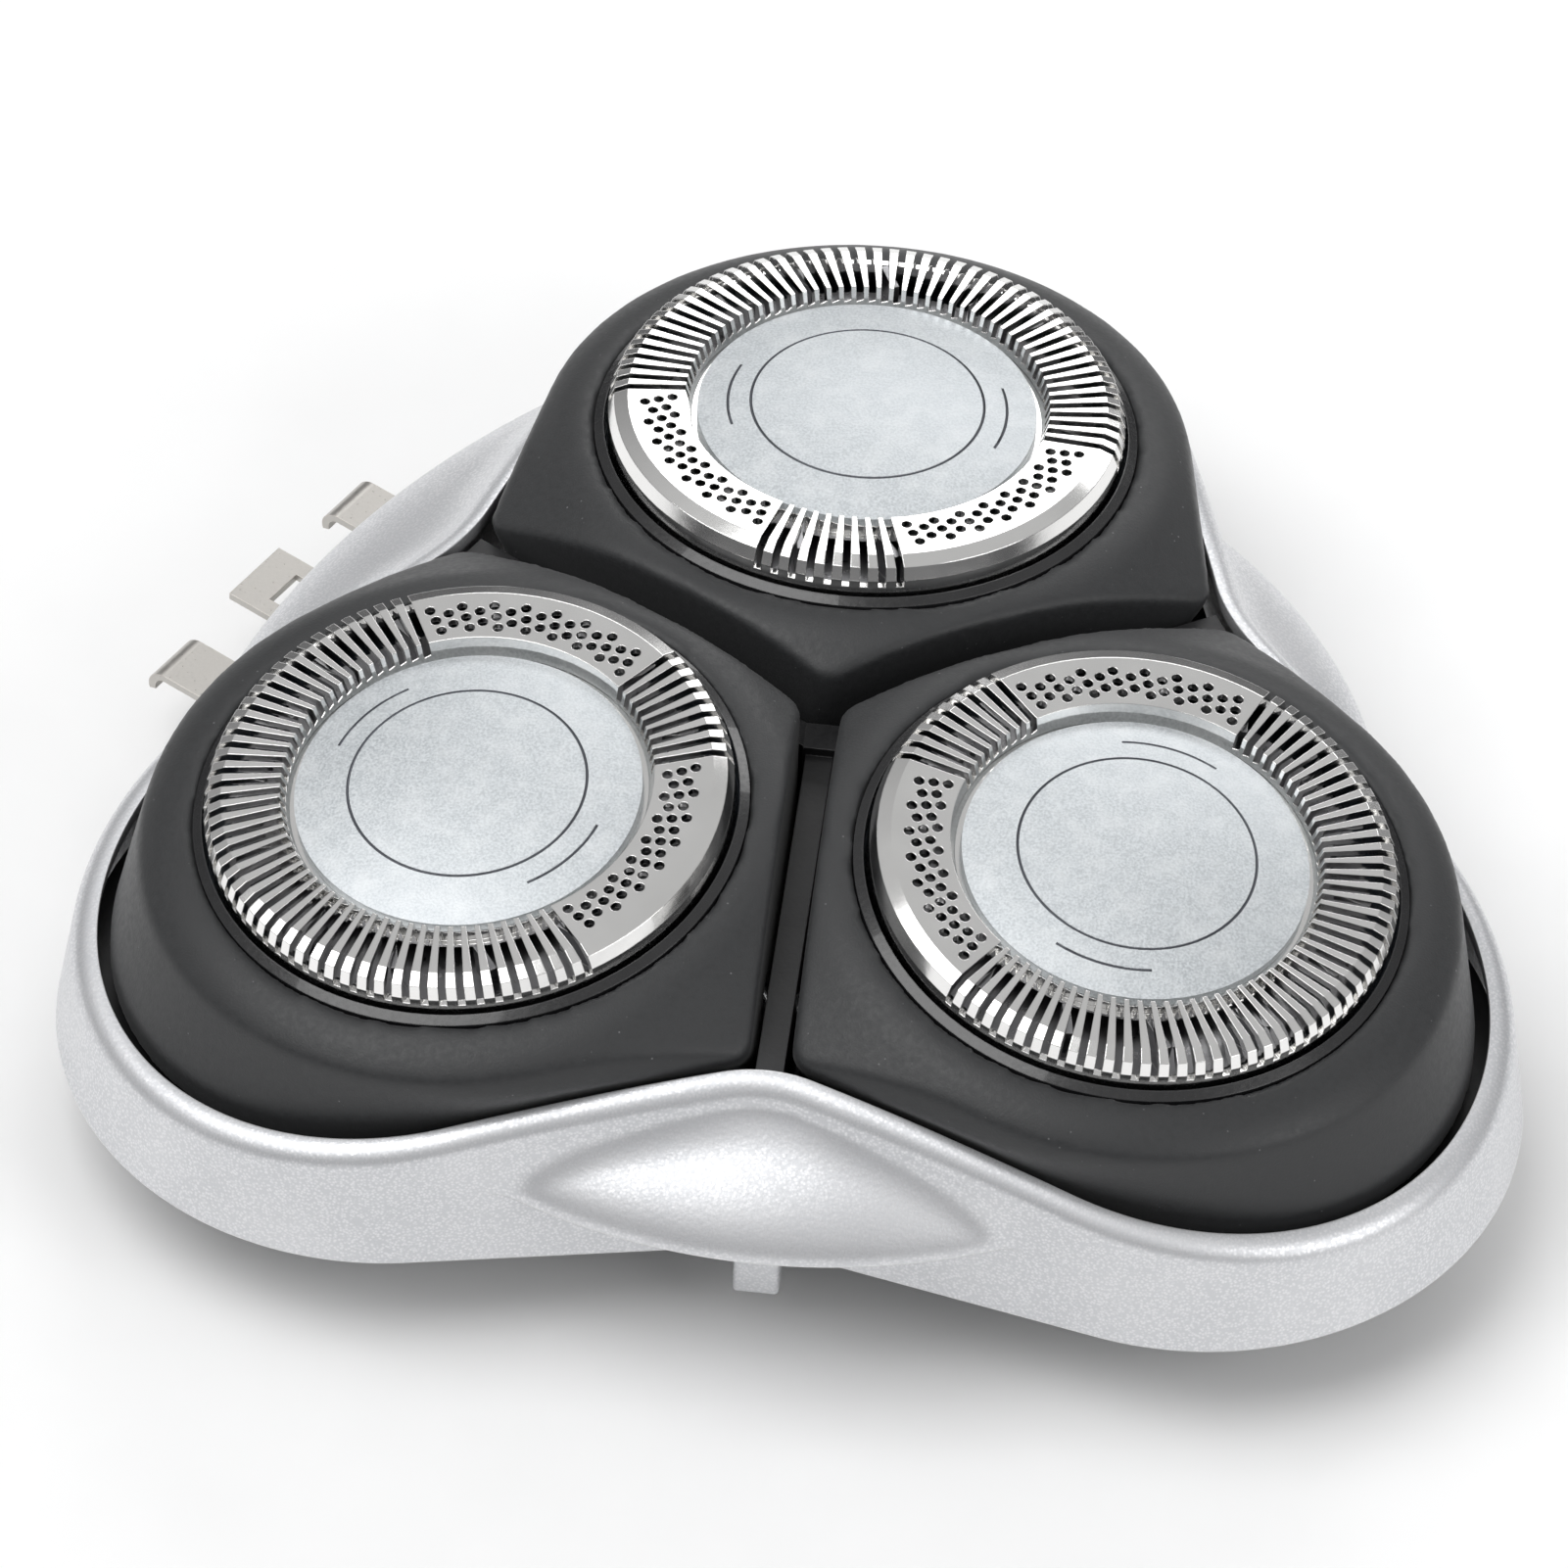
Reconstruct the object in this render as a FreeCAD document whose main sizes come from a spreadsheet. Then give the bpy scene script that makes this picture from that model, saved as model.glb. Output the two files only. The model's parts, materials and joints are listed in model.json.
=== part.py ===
import FreeCAD, Part

import math
import os

import Sketcher

# A detachable three-head rotary shaving unit, in millimetres, +Z up.
# The origin is the centre of the mouth of the neck collar on the underside.
# Head 1 stands at azimuth 90, head 2 at 210 and head 3 at 330 degrees.
#
# What belongs to one head is drawn in one of two frames and then placed three times:
#   the arm frame, X outward along the head's azimuth and Z straight up from the origin, and
#   the head frame, whose origin is the middle of the trim disc and whose Z is the leaning head axis.

doc = FreeCAD.newDocument("shaving_unit")
sheet = doc.addObject("Spreadsheet::Sheet", "sizes")

SIZES = {
    # heads
    "head_count": 3,
    "first_azimuth": 90,
    "head_radius": 18.08,
    "head_height": 20,
    "head_lean": 6.6,
    # trim disc
    "disc_dome": 38,
    "disc_apex": 0.45,
    "disc_edge": 8.15,
    "disc_rim": -0.43,
    "disc_thick": 0.5,
    "disc_stem": 1.5,
    "disc_stem_end": -1.25,
    "line_radius": 5.6,
    "line_wide": 0.14,
    "arc_line_radius": 6.7,
    "arc_line_span": 40,
    "arc_line_turn": -88,
    "first_disc_twist": -21,
    # guard
    "guard_sheet": 0.35,
    "guard_top": 0.2,
    "guard_inner": 8.75,
    "guard_inner_foot": 8.42,
    "guard_flat": 11.5,
    "guard_wall": 12.42,
    "guard_round": 0.9,
    "guard_plate": -0.95,
    "guard_foot": -3.2,
    "slot_step": 4,
    "slot_wide": 0.37,
    "slot_lean": 4,
    "slot_from": 8.55,
    "slot_to": 12.7,
    "slot_drop": 1.25,
    "outer_slots_from": -98.5,
    "outer_slots": 49,
    "inner_slots_from": 161,
    "inner_slots": 9,
    "hole_radius": 0.25,
    "hole_step": 8.2,
    "hole_row_step": 0.33,
    "hole_outer_row": 10.68,
    "hole_skew": 0.5,
    "hole_sector_a": 227.3,
    "hole_sector_b": 127.3,
    # cutter
    "cutter_gap": 0.14,
    "blade_count": 15,
    "blade_inner": 9.3,
    "blade_outer": 11.25,
    "blade_thick": 0.36,
    "blade_slant": 24,
    "blade_ring": -2.55,
    "blade_sheet": 0.4,
    "cutter_disc": 8.3,
    "cutter_disc_thick": 1.3,
    "hub_radius": 2.9,
    "hub_end": -7.2,
    "socket_side": 3.3,
    "socket_deep": 3.6,
    # pod frame and retaining ring
    "frame_bore": 12.6,
    "frame_radius": 13.05,
    "frame_top": -1.5,
    "frame_ledge": -4.2,
    "frame_foot": -5.3,
    "ring_thick": 0.7,
    "ring_bore": 9.2,
    "pod_throat": 11.9,
    # pod cover, at its foot, above the silver rim, at its widest and at its top
    "pod_gap": 1.9,
    "pod_foot": 9.9,
    "pod_foot_centre": 22.2,
    "pod_foot_round": 12.9,
    "pod_foot_corner": 16.6,
    "pod_neck": 11.5,
    "pod_neck_centre": 21.9,
    "pod_neck_round": 13.1,
    "pod_neck_corner": 17.4,
    "pod_waist": 15.8,
    "pod_waist_centre": 17.3,
    "pod_waist_round": 16,
    "pod_waist_corner": 20.7,
    "pod_top": 22,
    "pod_top_centre": 17.2,
    "pod_top_round": 14.6,
    "pod_top_corner": 19.6,
    "pod_rim": -1.7,
    "pod_rim_flat": 14.2,
    "pod_rim_slope": 34,
    "pod_rim_round": 4,
    "pod_blank_radius": 26,
    "pod_blank_foot": -18,
    "pod_corner_round": 1,
    # tilting of the pods
    "pivot_reach": 8,
    "pivot_height": 13,
    "pivot_radius": 0.4,
    "pivot_clear": 0.05,
    "pivot_from": 9.6,
    "pivot_to": 12.75,
    "pod_spring_reach": 31.7,
    "pod_spring_radius": 1.15,
    "pod_spring_wire": 0.32,
    "pod_spring_pitch": 1.2,
    "pod_spring_top": 13,
    "spring_bore": 1.7,
    # silver housing: its rim falls from the waists to the lobes
    "brow_reach": 22.3,
    "brow_height": 16,
    "rim_fall": 19.6,
    "rim_centre": 20.7,
    "rim_round": 14.9,
    "rim_waist": 8.55,
    "waist_centre": 30,
    "lip_height": 9.7,
    "skirt_height": 5.6,
    "skirt_top": 17,
    "skirt_centre": 20.6,
    "skirt_round": 17.1,
    "skirt_waist": 6,
    "skirt_draft": 9.5,
    "shoulder": 1,
    "well_round": 15.7,
    "well_waist": 7.5,
    "dome_foot": 10,
    "dome_low": 28,
    "dome_reach": 5.6,
    "dome_rise": 4,
    "peg_count": 2,
    "peg_reach": 23.15,
    "peg_wide": 2.2,
    "peg_thick": 1.2,
    "peg_foot": 3,
    "boss_radius": 1.9,
    # deck and arms
    "deck_foot": 8,
    "deck_thick": 0.8,
    "deck_round": 14.7,
    "deck_waist": 7.9,
    "arm_wide": 1.3,
    "arm_reach": 20.8,
    "arm_top": 15.4,
    "hub_block": 1.6,
    # floor of the unit
    "floor_foot": 5,
    "floor_thick": 1,
    "floor_centre": 21.6,
    "floor_round": 14.6,
    "floor_waist": 7.95,
    "collar_radius": 11,
    "neck_radius": 9,
    "drive_hole": 3.06,
    "screw_reach": 29.5,
    "screw_radius": 0.8,
    "screw_head": 1.6,
    "screw_head_thick": 0.8,
    "screw_long": 3,
    # hinge clip
    "clip_azimuth": 150,
    "clip_height": 4.6,
    "clip_sheet": 0.4,
    "clip_inner": 13.6,
    "clip_bridge": 23,
    "clip_outer": 34.2,
    "clip_spread": 6.8,
    "clip_side_wide": 2.9,
    "clip_middle_wide": 3.9,
    "clip_window": 2.1,
    "clip_window_bar": 1.8,
    "clip_curl": 1,
    "clip_screw_reach": 15.5,
    "clip_screw_spread": 5.5,
    # gear train
    "gear_module": 0.6,
    "sun_teeth": 30,
    "driven_teeth": 28,
    "gear_distance": 17.4,
    "gear_foot": 6.4,
    "gear_thick": 1.2,
    "gear_backlash": 0.08,
    "sun_shaft": 3,
    "coupling_foot": 5.05,
    "drive_bore": 1.6,
    "drive_bore_deep": 2,
    "key_wide": 0.9,
    "axle_radius": 0.5,
    "axle_top": 7.1,
    "cup_radius": 2.1,
    "cup_bore": 1.65,
    "cup_floor": 7.7,
    "cup_top": 10.6,
    # spindle
    "spindle_side": 2.8,
    "spindle_ball": 1.72,
    "spindle_head": 14.5,
    "spindle_neck": 0.85,
    "spindle_foot": 9,
    "spindle_foot_long": 2.4,
    "spindle_skirt": 1.6,
    "drive_spring_radius": 1.15,
    "drive_spring_wire": 0.32,
    "drive_spring_pitch": 0.8,
}
for row, (alias, value) in enumerate(SIZES.items(), start=1):
    sheet.set(f"A{row}", alias)
    sheet.set(f"B{row}", str(value))
    sheet.setAlias(f"B{row}", alias)
doc.recompute()

PARTS = []


def size(alias):
    """The number that a cell of the sheet holds."""
    return float(sheet.get(alias))


def bind(feature, name, formula):
    """Ties a property to the sheet; {words} in the formula are cells of the sheet."""
    feature.setExpression(name, formula.replace("{", "sizes.").replace("}", ""))


def azimuth(index):
    """The azimuth of head `index`, counted from 0."""
    return size("first_azimuth") + index * 360 / size("head_count")


def turned(angle, x=0, y=0, z=0):
    """A placement turned about Z and then moved to a point that turns with it."""
    spin = FreeCAD.Placement(FreeCAD.Vector(), FreeCAD.Rotation(FreeCAD.Vector(0, 0, 1), angle))
    return spin * FreeCAD.Placement(FreeCAD.Vector(x, y, z), FreeCAD.Rotation())


def arm_frame(index):
    return turned(azimuth(index))


def head_frame(index):
    lean = FreeCAD.Rotation(FreeCAD.Vector(0, 1, 0), size("head_lean"))
    middle = FreeCAD.Vector(size("head_radius"), 0, size("head_height"))
    return turned(azimuth(index)) * FreeCAD.Placement(middle, lean)


def keep(feature, label, placement=None):
    """Names a finished sub-part and puts it in place."""
    feature.Label = label
    if placement is not None:
        feature.Placement = placement
    PARTS.append(feature)
    return feature


def new_body(label, placement=None):
    return keep(doc.addObject("PartDesign::Body", label), label, placement)


def sketch_on(body, role, height=None):
    """A sketch on one of the body's origin planes, raised along the plane's normal."""
    sketch = body.newObject("Sketcher::SketchObject", "Sketch")
    plane = next(item for item in body.Origin.OriginFeatures if item.Role == role)
    sketch.AttachmentSupport = (plane, "")
    sketch.MapMode = "FlatFace"
    if height is not None:
        bind(sketch, "AttachmentOffset.Base.z", height)
    return sketch


def hold(sketch, kind, *place, formula):
    """Adds a dimension to a sketch and ties it to the sheet."""
    start = 1.0
    if kind in ("Radius", "Diameter"):
        start = sketch.Geometry[place[0]].Radius
    index = sketch.addConstraint(Sketcher.Constraint(kind, *place, start))
    bind(sketch, f"Constraints[{index}]", formula)


def polygon(sketch, corners):
    """A closed outline; each corner is a pair of formulas that the sheet drives."""
    count = len(corners)
    first = sketch.GeometryCount
    rough = [
        FreeCAD.Vector(math.cos(2 * math.pi * i / count), math.sin(2 * math.pi * i / count), 0)
        for i in range(count)
    ]
    for i in range(count):
        sketch.addGeometry(Part.LineSegment(rough[i], rough[(i + 1) % count]))
    for i in range(count):
        after = first + (i + 1) % count
        sketch.addConstraint(Sketcher.Constraint("Coincident", first + i, 2, after, 1))
    for i, (x, y) in enumerate(corners):
        hold(sketch, "DistanceX", first + i, 1, formula=x)
        hold(sketch, "DistanceY", first + i, 1, formula=y)


def rectangle(sketch, x_from, x_to, y_from, y_to):
    polygon(sketch, [(x_from, y_from), (x_to, y_from), (x_to, y_to), (x_from, y_to)])


def circle(sketch, radius, x="0", y="0"):
    index = sketch.addGeometry(Part.Circle(FreeCAD.Vector(1, 1, 0), FreeCAD.Vector(0, 0, 1), 1))
    hold(sketch, "DistanceX", index, 3, formula=x)
    hold(sketch, "DistanceY", index, 3, formula=y)
    hold(sketch, "Radius", index, formula=radius)


def pad(body, sketch, length, up=True):
    feature = body.newObject("PartDesign::Pad", "Pad")
    feature.Profile = sketch
    feature.Reversed = not up
    bind(feature, "Length", length)
    return feature


def pocket(body, sketch, depth=None, up=False):
    """Cuts away from the sketch: downward by a depth, or right through both ways."""
    feature = body.newObject("PartDesign::Pocket", "Pocket")
    feature.Profile = sketch
    feature.Reversed = up
    if depth is None:
        feature.Type = "ThroughAll"
        feature.Midplane = True
    else:
        bind(feature, "Length", depth)
    return feature


def revolve(body, corners, angle=360):
    """Turns an outline of (radius, height) corners about the body's Z axis."""
    sketch = sketch_on(body, "XZ_Plane")
    polygon(sketch, corners)
    feature = body.newObject("PartDesign::Revolution", "Revolution")
    feature.Profile = sketch
    feature.ReferenceAxis = (sketch, ["V_Axis"])
    feature.Angle = angle
    return feature


def around(body, features, count, span=360):
    """Repeats features evenly about the body's Z axis, over a span in degrees."""
    pattern = body.newObject("PartDesign::PolarPattern", "PolarPattern")
    pattern.Originals = features
    axis = next(item for item in body.Origin.OriginFeatures if item.Role == "Z_Axis")
    pattern.Axis = (axis, [""])
    pattern.Angle = span
    bind(pattern, "Occurrences", count)
    body.Tip = pattern
    return pattern


def polar(radius, degrees):
    return FreeCAD.Vector(
        radius * math.cos(math.radians(degrees)), radius * math.sin(math.radians(degrees)), 0
    )


def arc_about(centre, radius, start, end):
    """An arc, counter-clockwise from one angle to another, in degrees."""
    ring = Part.Circle(centre, FreeCAD.Vector(0, 0, 1), radius)
    return Part.ArcOfCircle(ring, math.radians(start), math.radians(end))


def on_arm(reach, index):
    """Formulas for the point that lies at a reach along a head's azimuth."""
    angle = azimuth(index)
    return f"{{{reach}}} * cos({angle})", f"{{{reach}}} * sin({angle})"


def solid(kind, **formulas):
    """A Part primitive whose sizes are tied to the sheet."""
    feature = doc.addObject(f"Part::{kind}", kind)
    for name, formula in formulas.items():
        bind(feature, name, formula)
    return feature


def raise_to(feature, height):
    bind(feature, "Placement.Base.z", height)
    return feature


def joined(*shapes):
    feature = doc.addObject("Part::MultiFuse", "Fuse")
    feature.Shapes = list(shapes)
    return feature


def cut(base, tool):
    feature = doc.addObject("Part::Cut", "Cut")
    feature.Base = base
    feature.Tool = tool
    return feature


def common(*shapes):
    feature = doc.addObject("Part::MultiCommon", "Common")
    feature.Shapes = list(shapes)
    return feature


def dome_line(radius, turn=0, span="360"):
    """A thin torus that lies on the disc's dome and cuts a line or an arc into it."""
    line = solid("Torus", Radius1=radius, Radius2="{line_wide} / 2", Angle3=span)
    line.Placement = turned(turn)
    return raise_to(line, f"{{disc_apex}} - {{disc_dome}} + sqrt({{disc_dome}}^2 - {radius}^2)")


def trim_disc(index):
    """A shallow dome on a stem, with an engraved circle and two engraved arcs.

    The disc of head 1 was pressed in a little further round than the other two."""
    dome = raise_to(solid("Sphere", Radius="{disc_dome}"), "{disc_apex} - {disc_dome}")
    blank = solid("Cylinder", Radius="{disc_edge}", Height="{disc_thick} + 2")
    raise_to(blank, "{disc_rim} - {disc_thick}")
    stem = solid("Cylinder", Radius="{disc_stem}", Height="{disc_rim} - {disc_stem_end}")
    raise_to(stem, "{disc_stem_end}")
    turn = size("arc_line_turn")
    if index == 0:
        turn += size("first_disc_twist")
    arcs = [
        dome_line("{arc_line_radius}", turn + half * 180, "{arc_line_span}")
        for half in range(2)
    ]
    lines = joined(dome_line("{line_radius}"), *arcs)
    disc = joined(common(dome, blank), stem)
    return keep(cut(disc, lines), f"trim_disc_{index + 1}", head_frame(index))


def slot(sketch, angle):
    """One slot of the guard: a narrow box across the flat ring, leaning off the radius."""
    reach = (size("slot_from"), size("slot_to"))
    half = size("slot_wide") / 2
    lean = FreeCAD.Rotation(FreeCAD.Vector(0, 0, 1), angle + size("slot_lean"))
    middle = polar((reach[0] + reach[1]) / 2, angle)
    long = (reach[1] - reach[0]) / 2
    corners = [
        middle + lean.multVec(FreeCAD.Vector(x, y, 0))
        for x, y in [(-long, -half), (long, -half), (long, half), (-long, half)]
    ]
    for start, end in zip(corners, corners[1:] + corners[:1]):
        sketch.addGeometry(Part.LineSegment(start, end))


def hole_sector(sketch, middle):
    """Five rows of round holes, staggered like bricks and skewed like the slots."""
    rows = 5
    for row in range(rows):
        count = 8 - row % 2
        radius = size("hole_outer_row") - row * size("hole_row_step")
        for column in range(count):
            offset = (column - (count - 1) / 2) * size("hole_step")
            centre = polar(radius, middle + offset - (row - 2) * size("hole_skew"))
            sketch.addGeometry(Part.Circle(centre, FreeCAD.Vector(0, 0, 1), size("hole_radius")))


def guard(index):
    """The steel cap: a flat slotted ring with a rounded outer wall and a sunk middle plate."""
    body = new_body(f"guard_{index + 1}", head_frame(index))
    top = "{guard_top}"
    under = "{guard_top} - {guard_sheet}"
    inside = "{guard_wall} - {guard_sheet}"
    revolve(
        body,
        [
            ("{disc_stem}", "{guard_plate}"),
            ("{guard_inner_foot}", "{guard_plate}"),
            ("{guard_inner}", top),
            ("{guard_flat}", top),
            ("{guard_wall} - {guard_round} * 0.3", "{guard_top} - {guard_round} * 0.3"),
            ("{guard_wall}", "{guard_top} - {guard_round}"),
            ("{guard_wall}", "{guard_foot}"),
            (inside, "{guard_foot}"),
            (inside, "{guard_top} - {guard_round}"),
            ("{guard_flat} - {guard_sheet} / 2", under),
            ("{guard_inner} + {guard_sheet}", under),
            ("{guard_inner_foot} + {guard_sheet}", "{guard_plate} - {guard_sheet}"),
            ("{disc_stem}", "{guard_plate} - {guard_sheet}"),
        ],
    )
    slots = sketch_on(body, "XY_Plane", top)
    for first, count in (("outer_slots_from", "outer_slots"), ("inner_slots_from", "inner_slots")):
        for step in range(int(size(count))):
            slot(slots, size(first) + step * size("slot_step"))
    pocket(body, slots, "{slot_drop}")
    holes = sketch_on(body, "XY_Plane", top)
    for sector in ("hole_sector_a", "hole_sector_b"):
        hole_sector(holes, size(sector))
    pocket(body, holes, "{guard_sheet} * 1.2")
    return body


def cutter_blades(index):
    """A steel ring with slanted upright blades that run just under the guard."""
    body = new_body(f"cutter_blades_{index + 1}", head_frame(index))
    ring = sketch_on(body, "XY_Plane", "{blade_ring}")
    circle(ring, "{blade_outer}")
    circle(ring, "{cutter_disc} - 1.5")
    pad(body, ring, "{blade_sheet}")
    blade = sketch_on(body, "XY_Plane", "{blade_ring} + {blade_sheet} / 2")
    lean = FreeCAD.Rotation(FreeCAD.Vector(0, 0, 1), size("blade_slant"))
    half_long = (size("blade_outer") - size("blade_inner")) / 2 - 0.12
    half_wide = size("blade_thick") / 2
    middle = FreeCAD.Vector((size("blade_outer") + size("blade_inner")) / 2, 0, 0)
    corners = [
        middle + lean.multVec(FreeCAD.Vector(x * half_long, y * half_wide, 0))
        for x, y in [(-1, -1), (1, -1), (1, 1), (-1, 1)]
    ]
    for start, end in zip(corners, corners[1:] + corners[:1]):
        blade.addGeometry(Part.LineSegment(start, end))
    tip = "{guard_top} - {guard_sheet} - {cutter_gap}"
    upright = pad(body, blade, f"{tip} - ({{blade_ring}} + {{blade_sheet}} / 2)")
    around(body, [upright], "{blade_count}")
    return body


def cutter_carrier(index):
    """The plastic wheel under the blades, with a square socket for the spindle."""
    body = new_body(f"cutter_carrier_{index + 1}", head_frame(index))
    revolve(
        body,
        [
            ("0", "{blade_ring} - {cutter_disc_thick}"),
            ("0", "{blade_ring} + {blade_sheet}"),
            ("{cutter_disc} - 1.5", "{blade_ring} + {blade_sheet}"),
            ("{cutter_disc} - 1.5", "{blade_ring}"),
            ("{cutter_disc}", "{blade_ring}"),
            ("{cutter_disc}", "{blade_ring} - {cutter_disc_thick}"),
        ],
    )
    hub = sketch_on(body, "XY_Plane", "{hub_end}")
    circle(hub, "{hub_radius}")
    pad(body, hub, "{blade_ring} - {hub_end} - {cutter_disc_thick} / 2")
    socket = sketch_on(body, "XY_Plane", "{hub_end}")
    half = "{socket_side} / 2"
    rectangle(socket, f"-{half}", half, f"-{half}", half)
    pocket(body, socket, "{socket_deep}", up=True)
    return body


def retaining_ring(index):
    """The flat ring that closes the pod frame under the guard."""
    body = new_body(f"retaining_ring_{index + 1}", head_frame(index))
    ring = sketch_on(body, "XY_Plane", "{frame_ledge}")
    circle(ring, "{frame_bore}")
    circle(ring, "{ring_bore}")
    pad(body, ring, "{ring_thick}", up=False)
    return body


def pod_frame(index):
    """The glossy liner round the guard, with the ledge that carries the retaining ring."""
    body = new_body(f"pod_frame_{index + 1}", head_frame(index))
    seat = "{frame_ledge} - {ring_thick}"
    revolve(
        body,
        [
            ("{frame_bore}", "{frame_top}"),
            ("{frame_radius}", "{frame_top} - 0.25"),
            ("{frame_radius}", "{frame_foot}"),
            ("{pod_throat}", "{frame_foot}"),
            ("{pod_throat}", seat),
            ("{frame_bore}", seat),
        ],
    )
    return body


def side_point(reach):
    """A point on the flat side of a pod, at a distance along the gap beside it."""
    along = polar(reach, 60)
    inward = polar(size("pod_gap") / 2, -30)
    return along + inward


def pod_outline(level):
    """The rounded wedge of a pod at one height: two gap sides, two flanks and an outer arc."""
    centre = FreeCAD.Vector(size(f"pod_{level}_centre"), 0, 0)
    radius = size(f"pod_{level}_round")
    corner = side_point(size(f"pod_{level}_corner"))
    spoke = corner - centre
    bearing = math.degrees(math.atan2(spoke.y, spoke.x))
    touch = bearing - math.degrees(math.acos(radius / spoke.Length))
    tip = FreeCAD.Vector(size("pod_gap") / 2 / math.sin(math.pi / 3), 0, 0)
    mirrored = FreeCAD.Vector(corner.x, -corner.y, 0)
    arc = arc_about(centre, radius, -touch, touch)
    edges = [
        Part.LineSegment(tip, mirrored).toShape(),
        Part.LineSegment(mirrored, arc.StartPoint).toShape(),
        arc.toShape(),
        Part.LineSegment(arc.EndPoint, corner).toShape(),
        Part.LineSegment(corner, tip).toShape(),
    ]
    wire = Part.Wire(edges)
    wire.translate(FreeCAD.Vector(0, 0, size(f"pod_{level}")))
    return wire


def pod_rim():
    """The top of a pod, turned about the head axis: a flat rim that slopes away softly."""
    rim = size("pod_rim")
    flat = size("pod_rim_flat")
    far = size("pod_blank_radius")
    foot = size("pod_blank_foot")
    low = rim - (far - flat) * math.tan(math.radians(size("pod_rim_slope")))
    corners = [(0, rim), (flat, rim), (far, low), (far, foot), (0, foot), (0, rim)]
    profile = Part.makePolygon([FreeCAD.Vector(x, 0, z) for x, z in corners])
    turned_solid = Part.Face(profile).revolve(FreeCAD.Vector(), FreeCAD.Vector(0, 0, 1), 360)
    soft = [
        edge
        for edge in turned_solid.Edges
        if abs(edge.BoundBox.XLength - 2 * flat) < 0.01 and abs(edge.BoundBox.ZMax - rim) < 0.01
    ]
    return turned_solid.makeFillet(size("pod_rim_round"), soft[:1])


def lean_from_arm(shape):
    """Moves a shape drawn in the head frame into the arm frame."""
    shape.Placement = arm_frame(0).inverse() * head_frame(0)
    return shape


def pivot_pin_pair(radius):
    """Two stub pins on the tilting axis of a pod, one through each gap side."""
    pins = []
    for side in (-1, 1):
        start = FreeCAD.Vector(size("pivot_reach"), side * size("pivot_from"), size("pivot_height"))
        length = size("pivot_to") - size("pivot_from")
        pins.append(Part.makeCylinder(radius, length, start, FreeCAD.Vector(0, side, 0)))
    return pins


def pod_cover(index):
    """The soft-touch comfort ring: a wedge with a deep skirt, bored along the head axis."""
    walls = Part.makeLoft([pod_outline(level) for level in ("foot", "neck", "waist", "top")], True, True)
    upright = [edge for edge in walls.Edges if edge.BoundBox.ZLength > 1]
    walls = walls.makeFillet(size("pod_corner_round"), upright)
    blank = walls.common(lean_from_arm(pod_rim()))
    seat = FreeCAD.Vector(0, 0, size("frame_foot"))
    foot = FreeCAD.Vector(0, 0, size("pod_blank_foot"))
    long = -size("pod_blank_foot")
    bores = [
        lean_from_arm(Part.makeCylinder(size("frame_radius"), long, seat)),
        lean_from_arm(Part.makeCylinder(size("pod_throat"), long, foot)),
    ]
    spring = FreeCAD.Vector(size("pod_spring_reach"), 0, 0)
    bores.append(Part.makeCylinder(size("spring_bore"), size("pod_spring_top"), spring))
    bores += pivot_pin_pair(size("pivot_radius") + size("pivot_clear"))
    cover = doc.addObject("Part::Feature", f"pod_cover_{index + 1}")
    cover.Shape = blank.cut(bores).removeSplitter()
    return keep(cover, f"pod_cover_{index + 1}", arm_frame(index))


def pivot_pins():
    """Six steel stub pins, held by the arms, on which the three pods tilt."""
    pins = []
    for index in range(int(size("head_count"))):
        for pin in pivot_pin_pair(size("pivot_radius")):
            pin.Placement = arm_frame(index) * pin.Placement
            pins.append(pin)
    group = doc.addObject("Part::Feature", "pivot_pins")
    group.Shape = Part.makeCompound(pins)
    return keep(group, "pivot_pins")


def trefoil(sketch, lobe, waist):
    """Three outer arcs and three waist arcs joined by straight tangents, all tied to the sheet.

    `lobe` and `waist` are each the cells of an arc's radius and of its distance from the middle."""
    lobe_round, lobe_centre = lobe
    waist_round, waist_centre = waist
    reach = size(lobe_centre)
    outer = size(lobe_round)
    waist_middle = polar(size(waist_centre), 60)
    lobe_middle = FreeCAD.Vector(reach, 0, 0)
    spoke = waist_middle - lobe_middle
    bearing = math.degrees(math.atan2(spoke.y, spoke.x))
    swing = math.degrees(math.acos((outer + size(waist_round)) / spoke.Length))
    touch = bearing - swing
    first = sketch.GeometryCount
    for index in range(3):
        turn = azimuth(index)
        sketch.addGeometry(arc_about(polar(reach, turn), outer, turn - touch, turn + touch))
        inner = arc_about(
            polar(size(waist_centre), turn + 60),
            size(waist_round),
            turn + 180 + 120 - touch,
            turn + 180 + touch,
        )
        start = polar(reach, turn) + polar(outer, turn + touch)
        end = polar(size(waist_centre), turn + 60) + polar(size(waist_round), turn + touch + 180)
        sketch.addGeometry(Part.LineSegment(start, end))
        sketch.addGeometry(inner)
        start = polar(size(waist_centre), turn + 60) + polar(
            size(waist_round), turn + 300 - touch
        )
        end = polar(reach, turn + 120) + polar(outer, turn + 120 - touch)
        sketch.addGeometry(Part.LineSegment(start, end))
    count = 12
    for step in range(count):
        here = first + step
        after = first + (step + 1) % count
        here_end = 1 if step % 4 == 2 else 2
        after_start = 2 if (step + 1) % 4 == 2 else 1
        sketch.addConstraint(Sketcher.Constraint("Tangent", here, here_end, after, after_start))
    for index in range(3):
        turn = azimuth(index)
        for edge, radius, centre, angle in (
            (first + 4 * index, lobe_round, lobe_centre, turn),
            (first + 4 * index + 2, waist_round, waist_centre, turn + 60),
        ):
            hold(sketch, "DistanceX", edge, 3, formula=f"{{{centre}}} * cos({angle})")
            hold(sketch, "DistanceY", edge, 3, formula=f"{{{centre}}} * sin({angle})")
            hold(sketch, "Radius", edge, formula=f"{{{radius}}}")


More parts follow.
